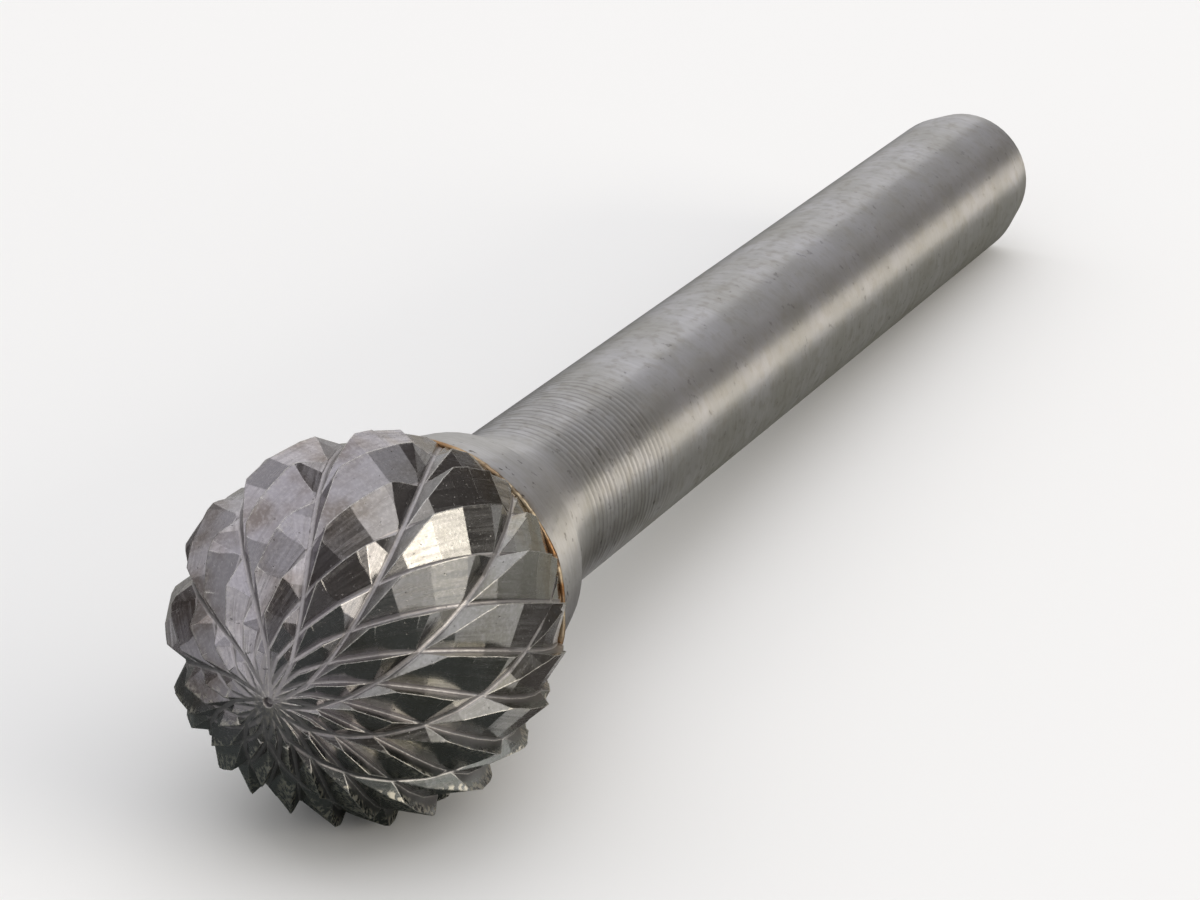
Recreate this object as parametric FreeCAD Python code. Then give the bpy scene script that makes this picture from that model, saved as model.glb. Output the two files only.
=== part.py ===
"""Ball burr of cemented carbide on a steel shank, lying as it comes to rest.

The tool is modelled about its own axis first: the ball's centre is the origin,
the tip is at -X and the shank runs towards +X. It is then laid on its side, so
that +Z is up, the bench is at z = 0 and the shank still points along +X.

A place on the ball is given by its colatitude, measured from the tip, and its
longitude, measured about the axis from the top towards +Y.
"""
import FreeCAD, Part
import math
import os

Vector = FreeCAD.Vector
AXIS = Vector(1, 0, 0)

# Head: a ball that ends where it is a little wider than the collar behind it
BALL_DIAMETER = 12.0
BACK_FULLNESS = 0.2        # how far the back edge stands outside the true ball
GRINDING_STOCK = 0.2       # the blank is this much oversize, and the flutes take it off
EDGE_ALLOWANCE = 0.09      # the passes aim this far out, so the tooth points reach the ball
DIMPLE_RADIUS = 0.22       # dimple at the tip, where the roots run together
DIMPLE_FLOOR = 0.1         # radius of its flat bottom
DIMPLE_DEPTH = 0.12

# Main flutes: saw-tooth, right-hand, with the cutting face almost radial
MAIN_COUNT = 22
MAIN_LEAN = 20.3           # degrees from the meridian
MAIN_DEPTH = 0.66          # at the equator
MAIN_FACE_SLOPE = 82.0     # degrees from the ball's surface
MAIN_ROOT = 0.09           # width of the flat bottom

# Cross cuts: left-hand V grooves that break the main teeth into points
CROSS_COUNT = 11
CROSS_LEAN = 17.2
CROSS_DEPTH = 0.7
CROSS_LEADING_SLOPE = 42.0
CROSS_TRAILING_SLOPE = 36.0
CROSS_ROOT = 0.11

# Both families cross on the equator, and are ground in short straight passes
FIRST_CROSSING = 12.35     # longitude of one crossing on the equator, degrees
FLUTE_START = 2.0          # colatitude where the passes start, degrees
FLUTE_END = 135.0          # beyond the back edge, so the flutes run out of it
PASSES = 12
PASS_OVERRUN = 0.15        # each pass runs on a little, so no ridge is left
CUTTER_CLEARANCE = 0.35    # how far a cutter stands outside the ball
TIP_FADE = 0.8             # depth follows this power of the distance from the axis
BACK_FADE = 6.0            # the same behind the equator, where the flutes run out

# Brazed joint
BRAZE_THICKNESS = 0.15
BRAZE_BEAD = 0.05          # how far the filler bulges past the steel

# Shank: tapered collar, fillet, ground cylinder and chamfered free end
COLLAR_DIAMETER = 9.45     # at the brazed face
COLLAR_INSET = 0.12        # step in from the head's back edge to the steel
COLLAR_LENGTH = 3.1
COLLAR_TAPER = 13.3        # degrees each side
COLLAR_FILLET = 6.0
SHANK_DIAMETER = 6.0
STEEL_LENGTH = 51.0
CHAMFER_LENGTH = 1.95
CHAMFER_STEP = 0.3

REPEATS = math.gcd(MAIN_COUNT, CROSS_COUNT)
REPEAT = 360.0 / REPEATS
BALL_RADIUS = BALL_DIAMETER / 2
SHANK_RADIUS = SHANK_DIAMETER / 2
COLLAR_RADIUS = COLLAR_DIAMETER / 2
EDGE_RADIUS = COLLAR_RADIUS + COLLAR_INSET
HEAD_BACK = math.sqrt(BALL_RADIUS ** 2 - (EDGE_RADIUS - BACK_FULLNESS) ** 2)
TAPER_START = (math.pi - math.atan2(EDGE_RADIUS, HEAD_BACK)
               - math.acos(BALL_RADIUS / math.hypot(EDGE_RADIUS, HEAD_BACK)))
STEEL_START = HEAD_BACK + BRAZE_THICKNESS
STEEL_END = STEEL_START + STEEL_LENGTH
CHAMFER_START = STEEL_END - CHAMFER_LENGTH


def profile_point(along, radius):
    """A point of a turned profile, in the half plane above the axis."""
    return Vector(along, 0, radius)


def turned(edges, angle=360):
    """A solid turned about the tool's axis from the edges of its profile."""
    return Part.Face(Part.Wire(edges)).revolve(Vector(), AXIS, angle)


def turn_by(shape, angle):
    """A copy turned about the tool's axis towards greater longitude, in degrees."""
    copy = shape.copy()
    copy.rotate(Vector(), AXIS, -angle)
    return copy


def chain(points):
    """Straight edges from point to point."""
    return [Part.makeLine(a, b) for a, b in zip(points[:-1], points[1:])]


def on_ball(colatitude, longitude, radius):
    """The point at these angles, in radians, and this distance from the centre."""
    around = math.sin(colatitude)
    return Vector(-math.cos(colatitude), around * math.sin(longitude),
                  around * math.cos(longitude)) * radius


def finished_radius(colatitude):
    """Distance from the centre that the edges aim for: a ball, then its tangent taper."""
    return (BALL_RADIUS + EDGE_ALLOWANCE) / math.cos(max(colatitude - TAPER_START, 0))


def blank_segment():
    """One repeat of the oversize ball and taper, centred on longitude zero."""
    radius = BALL_RADIUS + GRINDING_STOCK
    rim_angle = math.asin(DIMPLE_RADIUS / radius)
    rim = on_ball(rim_angle, 0, radius)
    middle = on_ball((rim_angle + TAPER_START) / 2, 0, radius)
    tangent = on_ball(TAPER_START, 0, radius)
    back_radius = (radius + HEAD_BACK * math.cos(TAPER_START)) / math.sin(TAPER_START)
    tip = DIMPLE_DEPTH - BALL_RADIUS
    outline = chain([tangent, profile_point(HEAD_BACK, back_radius),
                     profile_point(HEAD_BACK, 0), profile_point(tip, 0),
                     profile_point(tip, DIMPLE_FLOOR), rim])
    segment = turned([Part.Arc(rim, middle, tangent).toShape()] + outline, REPEAT)
    return turn_by(segment, REPEAT / 2)


def flute_depth(full_depth, colatitude):
    """Depth follows the tooth spacing ahead of the equator, and fades behind it."""
    power = TIP_FADE if colatitude < math.pi / 2 else BACK_FADE
    return full_depth * math.sin(colatitude) ** power


def flute_path(full_depth, lean, start):
    """Bottom points of one flute, as (colatitude, longitude, point).

    The flute keeps one angle to every meridian. A positive lean turns it
    towards greater longitude on the way back from the tip.
    """
    path = []
    for step in range(PASSES + 1):
        colatitude = math.radians(FLUTE_START + (FLUTE_END - FLUTE_START) * step / PASSES)
        drift = math.tan(math.radians(lean)) * math.log(math.tan(colatitude / 2))
        longitude = math.radians(start) + drift
        bottom = finished_radius(colatitude) - flute_depth(full_depth, colatitude)
        path.append((colatitude, longitude, on_ball(colatitude, longitude, bottom)))
    return path


def pass_axes(begin, end):
    """Directions along, sideways and outward of one straight pass."""
    along = (end - begin).normalize()
    sideways = (begin + end).cross(along).normalize()
    return along, sideways, along.cross(sideways)


def cutter_pass(begin, end, section):
    """One straight cutter, with its section given as (sideways, outward) pairs."""
    along, sideways, outward = pass_axes(begin, end)
    origin = begin - along * PASS_OVERRUN
    corners = [origin + sideways * x + outward * y for x, y in section]
    outline = Part.Face(Part.makePolygon(corners + corners[:1]))
    return outline.extrude(along * ((end - begin).Length + 2 * PASS_OVERRUN))


def main_section(begin, end):
    """Saw-tooth section, whose back slope climbs to the next tooth's edge."""
    spacing = 2 * math.pi / MAIN_COUNT
    colatitude = (begin[0] + end[0]) / 2
    longitude = (begin[1] + end[1]) / 2
    sideways, outward = pass_axes(begin[2], end[2])[1:]
    tip = on_ball(colatitude, longitude + spacing, finished_radius(colatitude))
    next_edge = tip - begin[2]
    reach, rise = next_edge.dot(sideways), next_edge.dot(outward)
    top = flute_depth(MAIN_DEPTH, colatitude) + CUTTER_CLEARANCE
    half = MAIN_ROOT / 2
    beyond = 1 + CUTTER_CLEARANCE / reach
    return [(-half, 0), (half, 0), (half + (reach - half) * beyond, rise * beyond),
            (-half - top / math.tan(math.radians(MAIN_FACE_SLOPE)), top)]


def cross_section(begin, end):
    """V section with a flat bottom."""
    top = flute_depth(CROSS_DEPTH, (begin[0] + end[0]) / 2) + CUTTER_CLEARANCE
    half = CROSS_ROOT / 2
    return [(-half, 0), (half, 0),
            (half + top / math.tan(math.radians(CROSS_TRAILING_SLOPE)), top),
            (-half - top / math.tan(math.radians(CROSS_LEADING_SLOPE)), top)]


def flute_cutters(count, depth, lean, section_of):
    """All the straight passes of one family of flutes."""
    path = flute_path(depth, lean, FIRST_CROSSING)
    passes = [cutter_pass(a[2], b[2], section_of(a, b)) for a, b in zip(path[:-1], path[1:])]
    return [turn_by(one, 360.0 * index / count) for index in range(count) for one in passes]


def carbide_head():
    """The ground ball, made as one repeat of the tooth pattern and then copied round."""
    segment = blank_segment()
    main = flute_cutters(MAIN_COUNT, MAIN_DEPTH, -MAIN_LEAN, main_section)
    cross = flute_cutters(CROSS_COUNT, CROSS_DEPTH, CROSS_LEAN, cross_section)
    near = [cutter for cutter in main + cross
            if cutter.BoundBox.intersect(segment.BoundBox)]
    ground = segment.cut(near)
    copies = [turn_by(ground, REPEAT * index) for index in range(1, REPEATS)]
    head = ground.multiFuse(copies).removeSplitter()
    return max(head.Solids, key=lambda solid: solid.Volume)


def braze_joint():
    """Thin disc of filler between the head and the steel, with a slightly proud rim."""
    front = profile_point(HEAD_BACK, COLLAR_RADIUS)
    crown = profile_point(HEAD_BACK + BRAZE_THICKNESS / 2, COLLAR_RADIUS + BRAZE_BEAD)
    rear = profile_point(STEEL_START, COLLAR_RADIUS)
    return turned(chain([front, crown, rear, profile_point(STEEL_START, 0),
                         profile_point(HEAD_BACK, 0), front]))


def shank():
    """The steel in one turned piece: collar, fillet, cylinder and chamfer."""
    collar_end = STEEL_START + COLLAR_LENGTH
    rim_radius = COLLAR_RADIUS - COLLAR_LENGTH * math.tan(math.radians(COLLAR_TAPER))
    drop = rim_radius - SHANK_RADIUS
    fillet_run = math.sqrt(COLLAR_FILLET ** 2 - (COLLAR_FILLET - drop) ** 2)
    fillet_end = collar_end + fillet_run
    half_turn = math.asin(fillet_run / COLLAR_FILLET) / 2
    rim = profile_point(collar_end, rim_radius)
    middle = profile_point(fillet_end - COLLAR_FILLET * math.sin(half_turn),
                           SHANK_RADIUS + COLLAR_FILLET * (1 - math.cos(half_turn)))
    runout = profile_point(fillet_end, SHANK_RADIUS)
    fillet = Part.Arc(rim, middle, runout).toShape()
    collar = chain([profile_point(STEEL_START, 0),
                    profile_point(STEEL_START, COLLAR_RADIUS), rim])
    body = chain([runout, profile_point(CHAMFER_START, SHANK_RADIUS),
                  profile_point(STEEL_END, SHANK_RADIUS - CHAMFER_STEP),
                  profile_point(STEEL_END, 0), profile_point(STEEL_START, 0)])
    return turned(collar + [fillet] + body)


def lie_angle(head):
    """How far the tool tips, in radians, before a tooth meets the bench.

    It tips about the lower edge of the shank, where the chamfer starts.
    """
    return max(math.atan2(-corner.Z - SHANK_RADIUS, CHAMFER_START - corner.X)
               for corner in head.Vertexes)


def lay_on_bench(pieces):
    """Tip the tool onto the bench and centre it over the origin."""
    lie = lie_angle(pieces["carbide_head"])
    lift = CHAMFER_START * math.sin(lie) + SHANK_RADIUS * math.cos(lie)
    tipped = FreeCAD.Placement(Vector(0, 0, lift), FreeCAD.Rotation(Vector(0, 1, 0),
                                                                    math.degrees(lie)))
    for piece in pieces.values():
        piece.Placement = tipped
    room = Part.Compound(list(pieces.values())).optimalBoundingBox()
    centred = FreeCAD.Placement(Vector(-room.Center.x, -room.Center.y, 0), FreeCAD.Rotation())
    for piece in pieces.values():
        piece.Placement = centred.multiply(piece.Placement)


pieces = {"carbide_head": carbide_head(), "braze_joint": braze_joint(), "shank": shank()}
lay_on_bench(pieces)
os.makedirs("parts", exist_ok=True)
for name, piece in pieces.items():
    piece.exportStep("parts/" + name + ".step")
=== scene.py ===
# %% [markdown]
# # A carbide ball burr on the bench
#
# The tool is one rigid piece: a ground carbide ball, a thin brazed joint and a
# turned steel shank. Its solids are loaded as they are and never changed. What
# is made here is the finish of each metal, the uneven bead of filler round the
# joint, and the studio it lies in.

import math

import bpy
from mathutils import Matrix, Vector


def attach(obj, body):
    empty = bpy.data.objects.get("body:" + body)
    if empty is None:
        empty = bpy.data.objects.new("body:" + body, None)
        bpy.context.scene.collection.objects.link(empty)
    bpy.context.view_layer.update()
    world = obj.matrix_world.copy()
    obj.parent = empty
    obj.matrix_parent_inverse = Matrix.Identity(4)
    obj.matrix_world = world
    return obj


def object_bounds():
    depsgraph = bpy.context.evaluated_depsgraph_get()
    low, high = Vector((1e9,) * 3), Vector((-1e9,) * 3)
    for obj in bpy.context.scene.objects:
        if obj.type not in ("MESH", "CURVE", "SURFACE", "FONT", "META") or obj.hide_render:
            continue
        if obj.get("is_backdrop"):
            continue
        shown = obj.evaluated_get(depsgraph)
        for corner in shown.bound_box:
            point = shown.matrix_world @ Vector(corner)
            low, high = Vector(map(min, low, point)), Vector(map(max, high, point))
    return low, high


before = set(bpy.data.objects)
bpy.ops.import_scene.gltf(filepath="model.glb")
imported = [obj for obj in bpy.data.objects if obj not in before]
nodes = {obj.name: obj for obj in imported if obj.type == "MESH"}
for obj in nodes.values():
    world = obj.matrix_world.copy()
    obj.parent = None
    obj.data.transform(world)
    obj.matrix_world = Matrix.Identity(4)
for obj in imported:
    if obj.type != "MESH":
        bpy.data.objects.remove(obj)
cad_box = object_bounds()
for name, node in nodes.items():
    print(name, len(node.data.polygons), "triangles")

# %% [markdown]
# ## The tool's own axis
#
# The ball rests on its teeth, so the tool tips a little towards its thin end.
# Turning marks, grinding marks and the bead all follow the tool's axis and not
# the bench, so the axis is set down once: where the ball's centre is, and how
# far the shank dips. The shank's length then says where its free end should
# be, and that place is printed.

# %% Set down the axis
MM = 0.001
BALL_CENTRE = Vector((-24.4791, -0.0170, 5.9377)) * MM
DIP = math.radians(3.1826)
AXIS = Vector((math.cos(DIP), 0.0, -math.sin(DIP)))
SHANK_END = 54.948


def at(along):
    """The point on the axis this many millimetres behind the ball's centre."""
    return BALL_CENTRE + AXIS * along * MM


print("the axis ends at x =", round(at(SHANK_END).x, 5))

# %% [markdown]
# ## The camera
#
# The photograph looks down on the tip from in front and to one side, with a
# long lens, so the shank runs away from the camera without much taper. A
# camera looks along its own -Z. The track quaternion turns -Z to the line of
# sight and keeps +Y up, so the camera stands level, without any roll.

# %% Place the camera
EYE = Vector((-115.77, -49.29, 56.85)) * MM
HEADING, TILT = math.radians(24.43), math.radians(-23.5)
FOCAL_LENGTH, SENSOR_WIDTH = 114.2, 36.0
NEAREST = 5 * MM


def towards(bearing, rise):
    """The direction at this bearing and height angle, in radians."""
    return Vector((math.cos(bearing) * math.cos(rise),
                   math.sin(bearing) * math.cos(rise), math.sin(rise)))


def photo_camera():
    """A level camera with a long lens at the photograph's place."""
    lens = bpy.data.cameras.new("photo_camera")
    lens.lens = FOCAL_LENGTH
    lens.sensor_width = SENSOR_WIDTH
    lens.clip_start = NEAREST
    camera = bpy.data.objects.new("photo_camera", lens)
    bpy.context.scene.collection.objects.link(camera)
    camera.location = EYE
    camera.rotation_euler = towards(HEADING, TILT).to_track_quat("-Z", "Y").to_euler()
    bpy.context.scene.camera = camera


photo_camera()
print("the camera stands", round((EYE - BALL_CENTRE).length / MM), "mm from the ball")

# %% [markdown]
# ## The bench
#
# Polished metal has hardly any colour of its own: it shows what stands round
# it. So the studio is built from what the facets of the real ball show: a pale
# bench, a wide soft light overhead, a warm window low on one side, and dark
# walls in between. The bench comes first, a large sheet of pale matt paint.

# %% Lay the bench
BENCH_SIZE = 6.0


def clear():
    """Nothing selected, before the next piece."""
    bpy.ops.object.select_all(action="DESELECT")


def plain(name, colour):
    """A plain matt paint."""
    paint = bpy.data.materials.new(name)
    paint.use_nodes = True
    shader = paint.node_tree.nodes["Principled BSDF"]
    shader.inputs["Base Color"].default_value = (*colour, 1.0)
    shader.inputs["Roughness"].default_value = 0.8
    shader.inputs["Specular IOR Level"].default_value = 0.0
    return paint


clear()
bpy.ops.mesh.primitive_plane_add(size=BENCH_SIZE)
bench = bpy.context.active_object
bench.name = "bench_top"
bench.data.materials.append(plain("bench_white", (0.88, 0.88, 0.88)))
bench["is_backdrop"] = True
print("the bench is", BENCH_SIZE, "m across")

# %% [markdown]
# ## The dark walls
#
# Half of the ball's facets look at something dark. Black cards would do it, but
# they would darken the bench too, so these walls show in the metal only: the
# camera, the diffuse light and the shadows pass them by. Each is part of a ring
# round the ball. A cylinder without ends is added, and only the faces at the
# bearings where the wall stands are kept.

# %% Stand the walls
WALL_REACH, WALL_SIDES = 0.75, 90
wall_black = plain("wall_black", (0.125, 0.115, 0.11))


def show_in_metal(card, name, paint):
    """Paint a card, and let it show in the metal only."""
    card.name = name
    card.data.materials.append(paint)
    card.visible_camera = False
    card.visible_diffuse = False
    card.visible_shadow = False
    card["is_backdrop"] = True


def dark_wall(name, height, *stretches):
    """Part of a ring round the ball, at these stretches of bearing in degrees."""
    clear()
    bpy.ops.mesh.primitive_cylinder_add(
        vertices=WALL_SIDES, radius=WALL_REACH, depth=height, end_fill_type="NOTHING",
        location=(BALL_CENTRE.x, BALL_CENTRE.y, height / 2 + MM))
    wall = bpy.context.active_object
    bpy.ops.object.transform_apply(location=True)
    bpy.ops.object.mode_set(mode="EDIT")
    bpy.ops.mesh.select_all(action="DESELECT")
    bpy.ops.object.mode_set(mode="OBJECT")
    for face in wall.data.polygons:
        arm = face.center - BALL_CENTRE
        bearing = math.degrees(math.atan2(arm.y, arm.x))
        face.select = not any(low < bearing < high for low, high in stretches)
    bpy.ops.object.mode_set(mode="EDIT")
    bpy.ops.mesh.delete(type="FACE")
    bpy.ops.object.mode_set(mode="OBJECT")
    show_in_metal(wall, name, wall_black)
    print(name, len(wall.data.polygons), "faces")


dark_wall("low_walls", 0.50, (-158, -110), (-62, 6))
dark_wall("left_wall", 0.33, (50, 102))
dark_wall("camera_side_wall", 1.05, (-158, -110))
dark_wall("rear_wall", 0.65, (-66, 2))

# %% [markdown]
# ## Cards on the bench
#
# The lower teeth and the underside of the shank see the bench. In the
# photograph they are dark, so a few dark and grey cards lie there, and these
# too show in the metal only. Each is a plane whose four corners are moved to
# their places, because that is quicker than turning and stretching it.

# %% Lay the cards
CARD_HEIGHT = 0.1 * MM
bench_grey = plain("bench_grey", (0.40, 0.40, 0.36))
card_black = plain("card_black", (0.11, 0.12, 0.115))


def bench_card(name, paint, *corners):
    """A card lying on the bench, from its four corners in millimetres."""
    clear()
    bpy.ops.mesh.primitive_plane_add(size=1.0)
    card = bpy.context.active_object
    for corner, (x, y) in zip(card.data.vertices, corners):
        corner.co = (x * MM, y * MM, CARD_HEIGHT)
    show_in_metal(card, name, paint)
    print(name, "has its corners at", *corners)


bench_card("front_card", card_black, (-160, -260), (-23, -10), (-230, 60), (-30, 120))
bench_card("right_card", wall_black, (-21, -8), (0, -44), (-24, 2), (-6, -10))
bench_card("left_card", card_black, (-24, 0), (-10, 0), (-60, 90), (-10, 90))
bench_card("under_card", bench_grey, (-10, -36), (140, -36), (-10, 90), (140, 90))

# %% [markdown]
# ## The lights
#
# Each light is a soft box at a bearing and a height angle, turned to face the
# ball. Its energy is worked out from its brightness and its area, so that a box
# can be moved or resized and still look as bright in the metal. The window
# stands far off, so that it doesn't burn out the bench beside it.

# %% Hang the lights


def soft_box(name, bearing, rise, distance, size, brightness, colour):
    """A rectangular light at this bearing and height angle, in degrees."""
    lamp = bpy.data.lights.new(name, "AREA")
    lamp.shape = "RECTANGLE"
    lamp.size, lamp.size_y = size
    lamp.energy = brightness * size[0] * size[1] * math.pi
    lamp.color = colour
    box = bpy.data.objects.new(name, lamp)
    bpy.context.scene.collection.objects.link(box)
    out = towards(math.radians(bearing), math.radians(rise))
    box.location = BALL_CENTRE + out * distance
    box.rotation_euler = out.to_track_quat("Z", "Y").to_euler()
    print(name, round(lamp.energy, 2), "W")


soft_box("overhead", -30, 84, 0.75, (1.05, 1.05), 0.635, (0.97, 0.96, 1.0))
soft_box("window", -88.5, 12, 1.40, (0.885, 0.515), 5.4, (1.0, 0.93, 0.80))
soft_box("window_glow", -88, 38, 0.70, (0.50, 0.50), 0.77, (1.0, 0.95, 0.88))
soft_box("side_card", 178, 26, 0.66, (0.38, 0.40), 0.72, (1.0, 0.98, 0.95))
soft_box("rear_card", 22, 30, 0.66, (0.40, 0.30), 0.91, (1.0, 0.98, 0.95))
soft_box("left_glow", 80, 45, 0.70, (0.40, 0.25), 0.77, (1.0, 0.98, 0.96))

# %% [markdown]
# ## The room
#
# Past the walls there is only an even grey, which keeps the shadows open. The
# Standard view transform shows each colour about as it is written.

# %% Set the room
ROOM_GREY = (0.58, 0.58, 0.58, 1.0)
world = bpy.data.worlds.new("studio")
bpy.context.scene.world = world
world.use_nodes = True
world.node_tree.nodes["Background"].inputs["Color"].default_value = ROOM_GREY
bpy.context.scene.view_settings.view_transform = "Standard"
print("view transform:", bpy.context.scene.view_settings.view_transform)

# %% [markdown]
# ## Writing a material in code
#
# A finish takes dozens of nodes, and adding and linking each one by hand hides
# what the finish does. This small class keeps it readable. Most of its methods
# add nodes and give back an output, so the nodes are written like a sum, and
# any input may be a number or the output of another node.

# %% A class that adds nodes


class NodeWriter:
    """Adds nodes to the tree of one new material."""

    def __init__(self, name):
        self.material = bpy.data.materials.new(name)
        self.material.use_nodes = True
        self.tree = self.material.node_tree
        self.shader = self.tree.nodes["Principled BSDF"]

    def join(self, value, socket):
        """Link an output to an input, or set the input to a value."""
        if isinstance(value, bpy.types.NodeSocket):
            self.tree.links.new(value, socket)
        else:
            socket.default_value = value

    def add(self, kind, inputs=None, **settings):
        """A node of this kind, with its inputs joined and its settings made."""
        node = self.tree.nodes.new("ShaderNode" + kind)
        for setting, value in settings.items():
            setattr(node, setting, value)
        for socket, value in (inputs or {}).items():
            self.join(value, node.inputs[socket])
        return node

    def number(self, operation, *values):
        """One step of arithmetic."""
        return self.add("Math", dict(enumerate(values)), operation=operation).outputs[0]

    def times(self, first, *others):
        """The product of all values."""
        for other in others:
            first = self.number("MULTIPLY", first, other)
        return first

    def plus(self, first, *others):
        """The sum of all values."""
        for other in others:
            first = self.number("ADD", first, other)
        return first

    def vector(self, operation, *values):
        """One step of vector arithmetic."""
        node = self.add("VectorMath", dict(enumerate(values)), operation=operation)
        return node.outputs["Value" if operation in ("DOT_PRODUCT", "LENGTH") else "Vector"]

    def scaled(self, vector, length):
        """A vector times a fixed number."""
        return self.add("VectorMath", {0: vector, "Scale": length}, operation="SCALE").outputs[0]

    def count(self):
        """Say how many nodes the material has so far."""
        print(self.material.name, len(self.tree.nodes), "nodes")


print("its methods:", *[name for name in vars(NodeWriter) if not name.startswith("_")])

# %% [markdown]
# ## How a machined finish is drawn
#
# Every mark on this tool follows the machine that made it: rings round the
# steel, scratches along the flutes. So the patterns aren't drawn on flat
# coordinates but on millimetres along and round the tool's own axis. A Mapping
# node of the texture type moves Object coordinates there. The other methods
# make the patterns, lay coat over coat, and fill in the shader.

# %% A class for metal finishes


class Finish(NodeWriter):
    """One metal, drawn in millimetres on the tool's own coordinates."""

    def __init__(self, name, anisotropy=0.0):
        super().__init__(name)
        self.shader.inputs["Metallic"].default_value = 1.0
        self.shader.inputs["Anisotropic"].default_value = anisotropy
        self.place = self.add("TexCoord").outputs["Object"]
        mapping = self.add("Mapping", {"Vector": self.place, "Location": BALL_CENTRE,
                                       "Rotation": (0.0, DIP, 0.0), "Scale": (MM, MM, MM)},
                           vector_type="TEXTURE")
        self.tool = mapping.outputs[0]
        self.along, self.side, self.up = self.add("SeparateXYZ", {"Vector": self.tool}).outputs

    def noise(self, where, scale, detail):
        """Soft noise with this many swings to each unit of the place."""
        return self.add("TexNoise", {"Vector": where, "Scale": scale, "Detail": detail}).outputs[0]

    def point(self, x, y, z):
        """Three numbers as one place."""
        return self.add("CombineXYZ", {"X": x, "Y": y, "Z": z}).outputs[0]

    def streaky(self, along, across, detail):
        """Noise with this many swings to a millimetre along the axis and across it."""
        where = self.point(self.times(self.along, along), self.times(self.side, across),
                           self.times(self.up, across))
        return self.noise(where, 1.0, detail)

    def rise(self, value, low, high, start=0.0, end=1.0):
        """A smooth step from start to end as the value goes from low to high."""
        return self.add("MapRange", {"Value": value, "From Min": low, "From Max": high,
                                     "To Min": start, "To Max": end},
                        interpolation_type="SMOOTHSTEP").outputs[0]

    def coats(self, colour, *coats):
        """A colour with one coat after another laid over it, each by its share."""
        for share, coat in coats:
            node = self.add("Mix", data_type="RGBA")
            for socket, value in ((0, share), (6, colour), (7, coat)):
                self.join((*value, 1.0) if isinstance(value, tuple) else value,
                          node.inputs[socket])
            colour = node.outputs[2]
        return colour

    def arm(self):
        """The way from the ball's centre to this place."""
        return self.vector("SUBTRACT", self.place, BALL_CENTRE)

    def around(self, arm):
        """The direction that runs round the axis, towards greater longitude."""
        return self.vector("NORMALIZE", self.vector("CROSS_PRODUCT", arm, AXIS))

    def close(self, colour, roughness, height, normal=None):
        """Colour, roughness and a height in millimetres go into the shader."""
        bump = self.add("Bump", {"Height": height, "Distance": MM, "Strength": 1.0})
        if normal is not None:
            self.join(normal, bump.inputs["Normal"])
        self.join(colour, self.shader.inputs["Base Color"])
        self.join(roughness, self.shader.inputs["Roughness"])
        self.join(bump.outputs[0], self.shader.inputs["Normal"])
        self.count()


def dress(node, finish):
    """Give a CAD node its finish."""
    nodes[node].data.materials.clear()
    nodes[node].data.materials.append(finish.material)
    print(node, "wears", finish.material.name)


print("it adds:", *[name for name in vars(Finish) if not name.startswith("_")])

# %% [markdown]
# ## The turned and ground steel
#
# The shank was turned, then ground to size, and the grinder left fine streaks
# round everything. They could be an image wrapped round it, but noise has no
# seam and stays sharp close up. Noise that is fine along the axis and coarse
# across it makes the streaks and a finer grain. Broader noises make the clouds
# and blotches that handling and storage leave on bare steel.

# %% Streaks, clouds and blotches
steel = Finish("ground_steel", anisotropy=0.95)
streaks = steel.streaky(7.0, 0.45, 4.0)
grain = steel.streaky(26.0, 2.2, 3.0)
clouds = steel.noise(steel.tool, 0.35, 4.0)
patches = steel.noise(steel.tool, 1.6, 3.0)
mottle = steel.noise(steel.tool, 2.4, 5.0)
blotches = steel.rise(mottle, 0.48, 0.66)
steel.count()

# %% [markdown]
# ## The rings from the lathe
#
# Where the collar runs into the cylinder, the lathe left coarse rings that the
# grinder didn't quite take off. They are about a hundredth of a millimetre
# high, and the solid is never changed, so they are drawn as bump. A sine along
# the axis makes them. It wanders a little with the clouds, fades in behind the
# fillet and out further back, and is worn off in patches. A zone is given by
# two places along the axis: where it begins, and where it is full.

# %% Cut the rings
RING_PITCH, RING_HEIGHT, RING_WANDER = 0.31, 0.009, 2.5
RINGS_IN, RINGS_OUT = (9.4, 10.8), (17.6, 15.0)

wander = steel.times(clouds, RING_WANDER)
wave = steel.number("SINE", steel.plus(steel.times(steel.along, math.tau / RING_PITCH), wander))
rings = steel.times(wave, steel.rise(steel.along, *RINGS_IN),
                    steel.rise(steel.along, *RINGS_OUT), steel.rise(patches, 0.25, 0.5))
print("about", round((RINGS_OUT[1] - RINGS_IN[1]) / RING_PITCH), "full rings")
steel.count()

# %% [markdown]
# ## Stains and scorching
#
# The collar was near the flame and hardly saw the grinder. It is paler and
# duller than the cylinder, with specks of burnt flux and a scorched edge beside
# the braze. Along the cylinder the specks lie mostly on the right, as seen from
# the ball, and further back the grinding is finer. These marks could be painted
# on by hand, but zones along the axis, and one across it, can be moved later.

# %% Stain the collar
COLLAR, WELL_GROUND = (10.5, 8.6), (13.0, 18.0)
FLUX_SPECKS, SCORCHED_EDGE = (7.4, 3.9), (4.9, 3.95)
RIGHT_SIDE = (0.8, -1.4)

collar = steel.rise(steel.along, *COLLAR)
scoring = steel.rise(steel.along, *WELL_GROUND, 1.0, 0.30)
specks = steel.rise(steel.noise(steel.tool, 3.0, 4.0), 0.63, 0.72)
stains = steel.times(specks, steel.plus(steel.rise(steel.along, *FLUX_SPECKS, 0.0, 0.6),
                                        steel.rise(steel.side, *RIGHT_SIDE, 0.06, 0.42)))
scorch = steel.times(steel.rise(steel.along, *SCORCHED_EDGE), steel.rise(patches, 0.42, 0.6))
steel.count()
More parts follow.
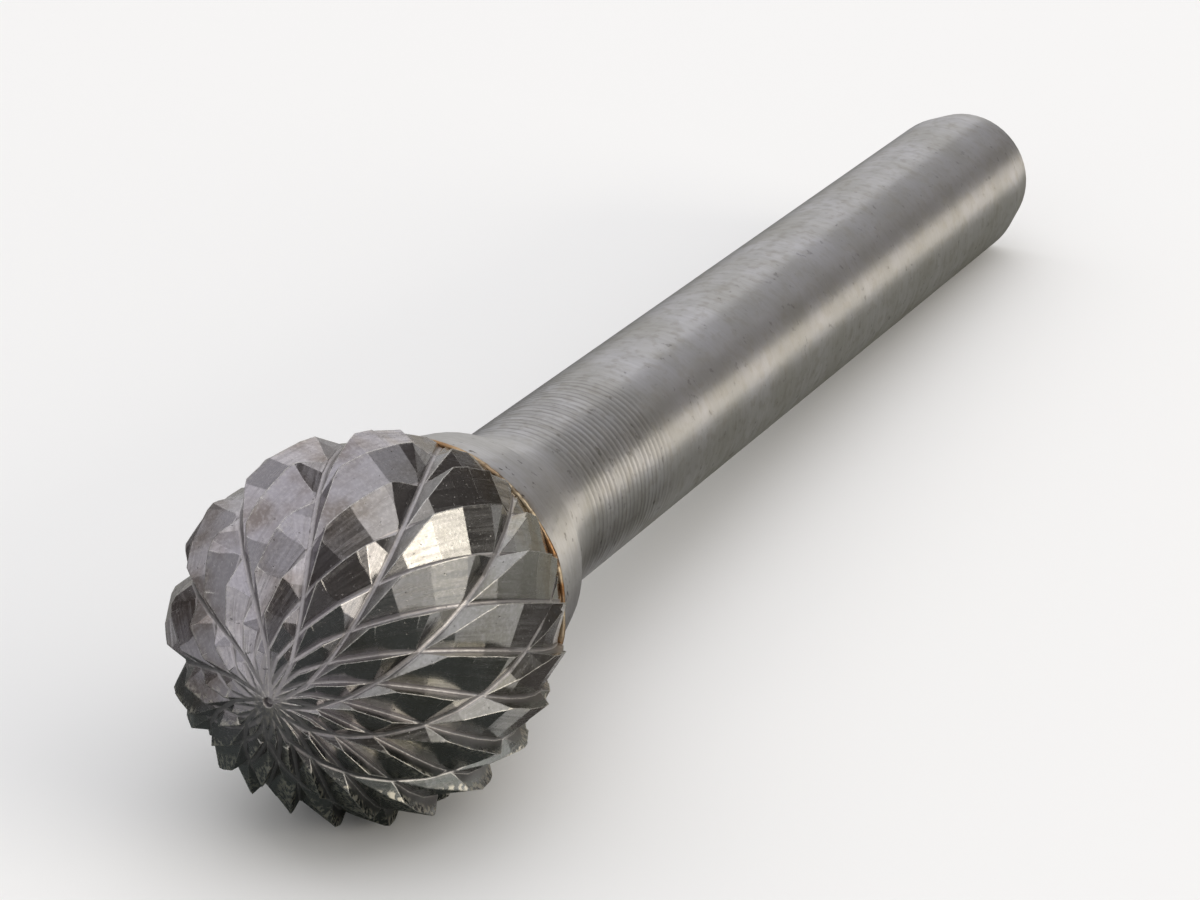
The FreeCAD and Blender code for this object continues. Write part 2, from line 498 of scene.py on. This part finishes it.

# %% [markdown]
# ## The colour of the steel
#
# Bare steel isn't one grey: it drifts between a warm and a cooler one. The
# marks are laid over it like thin coats, each with a share that says where it
# shows and how strongly. The darkening along the lathe rings is painted shade.

# %% Colour the steel
WARM_STEEL, COOL_STEEL = (0.365, 0.358, 0.35), (0.43, 0.425, 0.44)
HANDLED, TARNISHED = (0.29, 0.28, 0.255), (0.26, 0.24, 0.205)
IN_STREAKS, ON_COLLAR = (0.22, 0.215, 0.20), (0.50, 0.49, 0.48)
RING_SHADE, HEATED = (0.16, 0.15, 0.15), (0.24, 0.17, 0.11)
BURNT_FLUX = (0.07, 0.06, 0.055)

steel_colour = steel.coats(
    WARM_STEEL,
    (steel.rise(clouds, 0.3, 0.7), COOL_STEEL),
    (steel.rise(patches, 0.35, 0.70, 0.0, 0.22), HANDLED),
    (steel.times(blotches, 0.32), TARNISHED),
    (steel.times(steel.rise(streaks, 0.40, 0.66, 0.0, 0.30), scoring), IN_STREAKS),
    (steel.times(collar, 0.35), ON_COLLAR),
    # painted shade: the steel is darkened along the lathe rings
    (steel.rise(rings, 0.1, 0.9, 0.0, 0.45), RING_SHADE),
    (steel.times(scorch, 0.6), HEATED),
    (stains, BURNT_FLUX))
steel.count()

# %% [markdown]
# ## Gloss and relief of the steel
#
# The collar, the blotches and the stains are duller than clean steel. The
# relief is the streaks and rings, weaker on the collar, and a faint unevenness.
# Ground grooves run round the axis, so they spread light along the shank but
# hardly round it. That is what anisotropy is for, and its tangent is the
# direction across the grooves: square to the way round and to the surface.

# %% Finish the steel
STREAK_HEIGHT, GRAIN_HEIGHT, UNEVENNESS = 0.005, 0.0022, 0.008

dull = steel.times(steel.number("MAXIMUM", collar, blotches), 0.05)
steel_rough = steel.plus(steel.rise(streaks, 0.3, 0.7, 0.38, 0.45), dull,
                         steel.times(stains, 0.2))

scored = steel.times(steel.plus(steel.times(streaks, STREAK_HEIGHT),
                                steel.times(grain, GRAIN_HEIGHT)), scoring)
machined = steel.times(steel.plus(scored, steel.times(rings, RING_HEIGHT)),
                       steel.number("SUBTRACT", 1.0, steel.times(collar, 0.6)))
uneven = steel.times(mottle, steel.plus(steel.times(collar, UNEVENNESS), UNEVENNESS))

facing = steel.add("NewGeometry").outputs["Normal"]
grooves = steel.around(steel.arm())
steel.join(steel.vector("CROSS_PRODUCT", grooves, facing), steel.shader.inputs["Tangent"])
steel.close(steel_colour, steel_rough, steel.plus(machined, uneven))
dress("shank", steel)

# %% [markdown]
# ## Places on the ball
#
# A place on the ball has a longitude round the axis. It also has a stretch,
# which grows from the tip to the back so that any line that keeps one angle to
# the meridians is straight in longitude and stretch, as on a sailor's chart.
# Two more lengths are needed: the distance from the axis and from the centre.

# %% Measure the ball
carbide = Finish("ground_carbide")
off_axis = carbide.number("SQRT", carbide.plus(carbide.times(carbide.side, carbide.side),
                                               carbide.times(carbide.up, carbide.up)))
reach = carbide.vector("LENGTH", carbide.tool)
longitude = carbide.number("ARCTAN2", carbide.side, carbide.up)
slope = carbide.number("DIVIDE", carbide.plus(reach, carbide.along),
                       carbide.number("MAXIMUM", off_axis, 0.01))
stretch = carbide.number("LOGARITHM", slope, math.e)
carbide.count()

# %% [markdown]
# ## Scratches along the flutes
#
# Each facet of the ball is one pass of a small grinding wheel that follows its
# flute, so its scratches run along that flute. A flute keeps one angle to every
# meridian, and so the longitude less the flute's own drift is the same number
# all along it. That number, the lane, draws the scratches without a seam, and
# it also says how far the nearest flute's bottom is.

# %% Two families of flutes
FIRST_CROSSING = math.radians(12.35)
MAIN_FLUTES, MAIN_LEAN = 22, math.radians(-20.3)
CROSS_FLUTES, CROSS_LEAN = 11, math.radians(17.2)
SCRATCHES_ACROSS, SCRATCHES_ALONG = 46.0, 2.6


def flute_marks(count, lean):
    """Scratches along one family of flutes, and the way round to its nearest bottom."""
    lane = carbide.number("SUBTRACT", longitude, carbide.times(stretch, math.tan(lean)))
    where = carbide.point(carbide.times(carbide.number("COSINE", lane), SCRATCHES_ACROSS),
                          carbide.times(carbide.number("SINE", lane), SCRATCHES_ACROSS),
                          carbide.times(stretch, SCRATCHES_ALONG))
    pitch = math.tau / count
    turns = carbide.number("DIVIDE", carbide.number("SUBTRACT", lane, FIRST_CROSSING), pitch)
    away = carbide.times(carbide.number("PINGPONG", turns, 0.5), pitch, off_axis)
    return carbide.noise(where, 1.0, 3.0), away


main_scratches, from_main = flute_marks(MAIN_FLUTES, MAIN_LEAN)
cross_scratches, from_cross = flute_marks(CROSS_FLUTES, CROSS_LEAN)
carbide.count()

# %% [markdown]
# ## Which flute cut this facet
#
# A wheel leaves a facet that runs level along its own flute. So the direction of
# each family is worked out at the ball's surface, and whichever lies flatter in
# a facet is the one that cut it and gives it its scratches.

# %% Choose the scratches
flat = carbide.add("NewGeometry").outputs["True Normal"]
arm = carbide.arm()
around = carbide.around(arm)
back = carbide.vector("CROSS_PRODUCT", around, carbide.vector("NORMALIZE", arm))


def tilt_to(lean):
    """How far the facet tilts against flutes of this lean."""
    run = carbide.vector("ADD", carbide.scaled(back, math.cos(lean)),
                         carbide.scaled(around, math.sin(lean)))
    return carbide.number("ABSOLUTE", carbide.vector("DOT_PRODUCT", flat, run))


by_main = carbide.number("LESS_THAN", tilt_to(MAIN_LEAN), tilt_to(CROSS_LEAN))
by_cross = carbide.number("SUBTRACT", 1.0, by_main)
scratches = carbide.plus(carbide.times(main_scratches, by_main),
                         carbide.times(cross_scratches, by_cross))
carbide.count()

# %% [markdown]
# ## Ribbons at the flute bottoms
#
# The rim of the wheel leaves a narrow, rounded and duller ribbon at the bottom
# of each flute. It is finer than the solids hold, so it is drawn from the
# distance to the nearest bottom of either family. Close round the tip, where
# all the flutes run together, it isn't rounded. The ribbon's paler colour is a
# painted highlight of the rounded bottom, strongest near the tip.

# %% Draw the ribbons
RIBBON, ROUNDED, OFF_THE_TIP = (0.11, 0.05), (0.10, 0.0), (1.0, 2.5)

from_bottom = carbide.number("MINIMUM", from_main, from_cross)
ribbon = carbide.rise(from_bottom, *RIBBON)
hollow = carbide.times(carbide.rise(from_bottom, *ROUNDED), carbide.rise(off_axis, *OFF_THE_TIP))
carbide.count()

# %% [markdown]
# ## Wear
#
# Carbide is brittle, so its edges chip. The edges can't be rounded as
# a mesh, because the solids are never changed, so a Bevel node gives the normal
# of a slightly rounded surface. Where that turns away from the facet's own
# normal, there is an edge, which is duller, and paler as a painted highlight.
# The outermost tooth points are worn and duller, and speckled with painted
# glints, most of all low on the ball, and small pits are spread over everything.

# %% Wear the teeth
EDGE_RADIUS = 0.05 * MM
TOOTH_POINTS = (5.88, 6.00)

rounded = carbide.add("Bevel", {"Radius": EDGE_RADIUS}, samples=6).outputs[0]
edge = carbide.rise(carbide.vector("DOT_PRODUCT", rounded, flat), 0.995, 0.90)
fine = carbide.noise(carbide.tool, 9.0, 4.0)
# painted glints on the outermost tooth points, strongest low on the ball; the same points are also
# duller as wear
tip_reach = carbide.plus(reach, carbide.rise(carbide.up, -1.5, -4.0, 0.0, 0.24))
tip_wear_and_glints = carbide.times(carbide.rise(tip_reach, *TOOTH_POINTS),
                      carbide.rise(carbide.noise(carbide.tool, 6.0, 4.0), 0.47, 0.58),
                      carbide.rise(carbide.up, 1.0, -2.5, 0.12, 1.0))
pits = carbide.rise(carbide.noise(carbide.tool, 7.0, 3.0), 0.68, 0.76)
grit = carbide.rise(carbide.noise(carbide.tool, 14.0, 2.0), 0.68, 0.76)
carbide.count()

# %% [markdown]
# ## Tones of the carbide
#
# The carbide is a dark grey with a violet cast in broad patches, and the flame
# has burnt it brown beside the braze. Olive on the right and greener underneath
# are painted reflections of what lies on those sides. Smooth steps across the
# ball place those tones, and two broad noises break them up.

# %% Place the tones
DARK_GREY, VIOLET_GREY = (0.18, 0.155, 0.148), (0.30, 0.285, 0.31)
OLIVE_GREY, GREEN_GREY = (0.26, 0.265, 0.225), (0.235, 0.255, 0.24)
FLAME_BROWN = (0.20, 0.155, 0.09)

tone = carbide.noise(carbide.tool, 0.42, 3.0)
flame = carbide.noise(carbide.tool, 0.8, 3.0)
# painted reflection: olive on the right side and greener underneath
reflection_tint_right = carbide.rise(carbide.side, 1.0, -4.5)
reflection_tint_below = carbide.rise(carbide.up, -0.5, -3.5)
burnt = carbide.times(carbide.rise(carbide.along, 0.6, 3.0), carbide.rise(flame, 0.40, 0.56))
bare_carbide = carbide.coats(DARK_GREY, (carbide.rise(tone, 0.36, 0.56), VIOLET_GREY),
                             (carbide.times(reflection_tint_right, 0.6), OLIVE_GREY),
                             (carbide.times(reflection_tint_below, 0.7), GREEN_GREY),
                             (carbide.times(burnt, 0.8), FLAME_BROWN))
carbide.count()

# %% [markdown]
# ## Marks on the carbide
#
# The marks are laid over the tones in the order in which they were made:
# scratches and the grain of the grinding, ribbons, chipped edges, worn points
# and pits. The ribbons and the edges are paler as painted highlights, and the
# worn points as painted glints.

# %% Colour the carbide
IN_SCRATCHES, GROUND_GRAIN = (0.13, 0.12, 0.12), (0.45, 0.43, 0.44)
RIBBON_HIGHLIGHT, EDGE_HIGHLIGHT = (0.41, 0.385, 0.40), (0.72, 0.70, 0.66)
TIP_GLINT, PIT_BLACK = (0.78, 0.74, 0.64), (0.05, 0.045, 0.04)

# painted highlight: the chipped edges are paler, speckled by noise
chipped_edge_highlight = carbide.times(edge, carbide.rise(fine, 0.38, 0.58, 0.35, 1.0))
carbide_colour = carbide.coats(
    bare_carbide,
    (carbide.rise(scratches, 0.42, 0.68, 0.0, 0.20), IN_SCRATCHES),
    (carbide.rise(fine, 0.42, 0.72, 0.0, 0.30), GROUND_GRAIN),
    # painted highlight: the ribbons are paler, most of all near the tip
    (carbide.times(ribbon, carbide.rise(off_axis, 1.6, 4.2, 0.85, 0.5)), RIBBON_HIGHLIGHT),
    (carbide.times(chipped_edge_highlight, 0.85), EDGE_HIGHLIGHT),
    (carbide.times(tip_wear_and_glints, 0.75), TIP_GLINT),
    (carbide.times(pits, 0.6), PIT_BLACK))
carbide.count()

# %% [markdown]
# ## Gloss and relief of the carbide
#
# The facets are nearly mirrors, and everything worn is duller. The relief is
# under two hundredths of a millimetre: scratches, grain and grit stand up, and
# pits and flute bottoms go down. It is added to the rounded normal, so that
# the edges catch the light.

# %% Finish the carbide
SCRATCH_HEIGHT, FINE_HEIGHT, GRIT_HEIGHT = 0.0009, 0.0014, 0.003
PIT_DEPTH, HOLLOW_DEPTH = 0.006, 0.016

worn = carbide.number("MAXIMUM", edge, carbide.number("MAXIMUM", pits, tip_wear_and_glints))
carbide_rough = carbide.plus(carbide.rise(scratches, 0.3, 0.7, 0.16, 0.29),
                             carbide.times(ribbon, 0.24), carbide.times(worn, 0.18))
carbide_height = carbide.plus(carbide.times(scratches, SCRATCH_HEIGHT),
                              carbide.times(fine, FINE_HEIGHT), carbide.times(grit, GRIT_HEIGHT),
                              carbide.times(pits, -PIT_DEPTH), carbide.times(hollow, -HOLLOW_DEPTH))
carbide.close(carbide_colour, carbide_rough, carbide_height, rounded)
dress("carbide_head", carbide)

# %% [markdown]
# ## The brazing filler
#
# The filler is a copper alloy that ran and froze: orange-brown where the flame
# reached it, cream-gold on the right as a painted highlight, and scorched nearly
# black in small patches. One painted colour would look like plastic, so three
# noises of different size mix those colours and roughen the surface.

# %% Finish the filler
DARK_COPPER, COPPER = (0.24, 0.125, 0.055), (0.40, 0.23, 0.10)
CREAM_GOLD, SCORCHED = (0.50, 0.44, 0.33), (0.08, 0.055, 0.04)

filler = Finish("frozen_filler")
runs = filler.noise(filler.tool, 0.8, 4.0)
burns = filler.noise(filler.tool, 2.3, 5.0)
crumbs = filler.noise(filler.tool, 11.0, 3.0)
# painted highlight: cream-gold on the right side of the joint
right_side_highlight = filler.times(filler.rise(filler.side, 0.5, -3.2), filler.rise(runs, 0.34, 0.56))
filler_colour = filler.coats(DARK_COPPER, (filler.rise(runs, 0.35, 0.65), COPPER),
                             (filler.times(right_side_highlight, 0.8), CREAM_GOLD),
                             (filler.rise(burns, 0.54, 0.64, 0.0, 0.8), SCORCHED))
filler_rough = filler.rise(burns, 0.35, 0.65, 0.34, 0.62)
filler_height = filler.plus(filler.times(burns, 0.03), filler.times(crumbs, 0.010))
filler.close(filler_colour, filler_rough, filler_height)
dress("braze_joint", filler)

# %% [markdown]
# ## The bead of filler
#
# Filler runs out of the joint as it is brazed and stands round it as an uneven
# bead. A torus is laid in the corner between the ball and the steel. A Displace
# modifier with a clouds texture swells and thins it, as flowing metal does, and
# a second, finer one roughens it.

# %% Model the bead
BEAD_ALONG, BEAD_RADIUS, BEAD_WIRE = 3.93, 4.775, 0.10
SWELLS = (("flow", 1.3, 0.13), ("crust", 0.35, 0.035))


def braze_bead():
    """An uneven ring of filler in the corner between the ball and the collar."""
    clear()
    bpy.ops.mesh.primitive_torus_add(major_segments=360, minor_segments=12,
                                     major_radius=BEAD_RADIUS * MM, minor_radius=BEAD_WIRE * MM,
                                     location=at(BEAD_ALONG),
                                     rotation=AXIS.to_track_quat("Z", "Y").to_euler())
    bead = bpy.context.active_object
    bead.name = "braze_bead"
    bpy.ops.object.transform_apply(location=True, rotation=True)
    for label, size, strength in SWELLS:
        texture = bpy.data.textures.new(label, "CLOUDS")
        texture.noise_scale = size * MM
        swell = bead.modifiers.new(label, "DISPLACE")
        swell.texture = texture
        swell.texture_coords = "LOCAL"
        swell.strength = strength * MM
        swell.mid_level = 0.5
        bpy.ops.object.modifier_apply(modifier=label)
    bpy.ops.object.shade_smooth()
    return bead


bead = braze_bead()
bead.data.materials.append(filler.material)
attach(bead, "root")
print("the bead has", len(bead.data.polygons), "faces")

# %% [markdown]
# ## Sizes
#
# A finish must not change the tool's size, so the box of the solids and the box
# of the dressed tool are written side by side.

# %% Record the sizes and finish
visual_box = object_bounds()
for given, made in zip(cad_box, visual_box):
    print("a corner moved by", (Vector(made) - Vector(given)).length, "m")
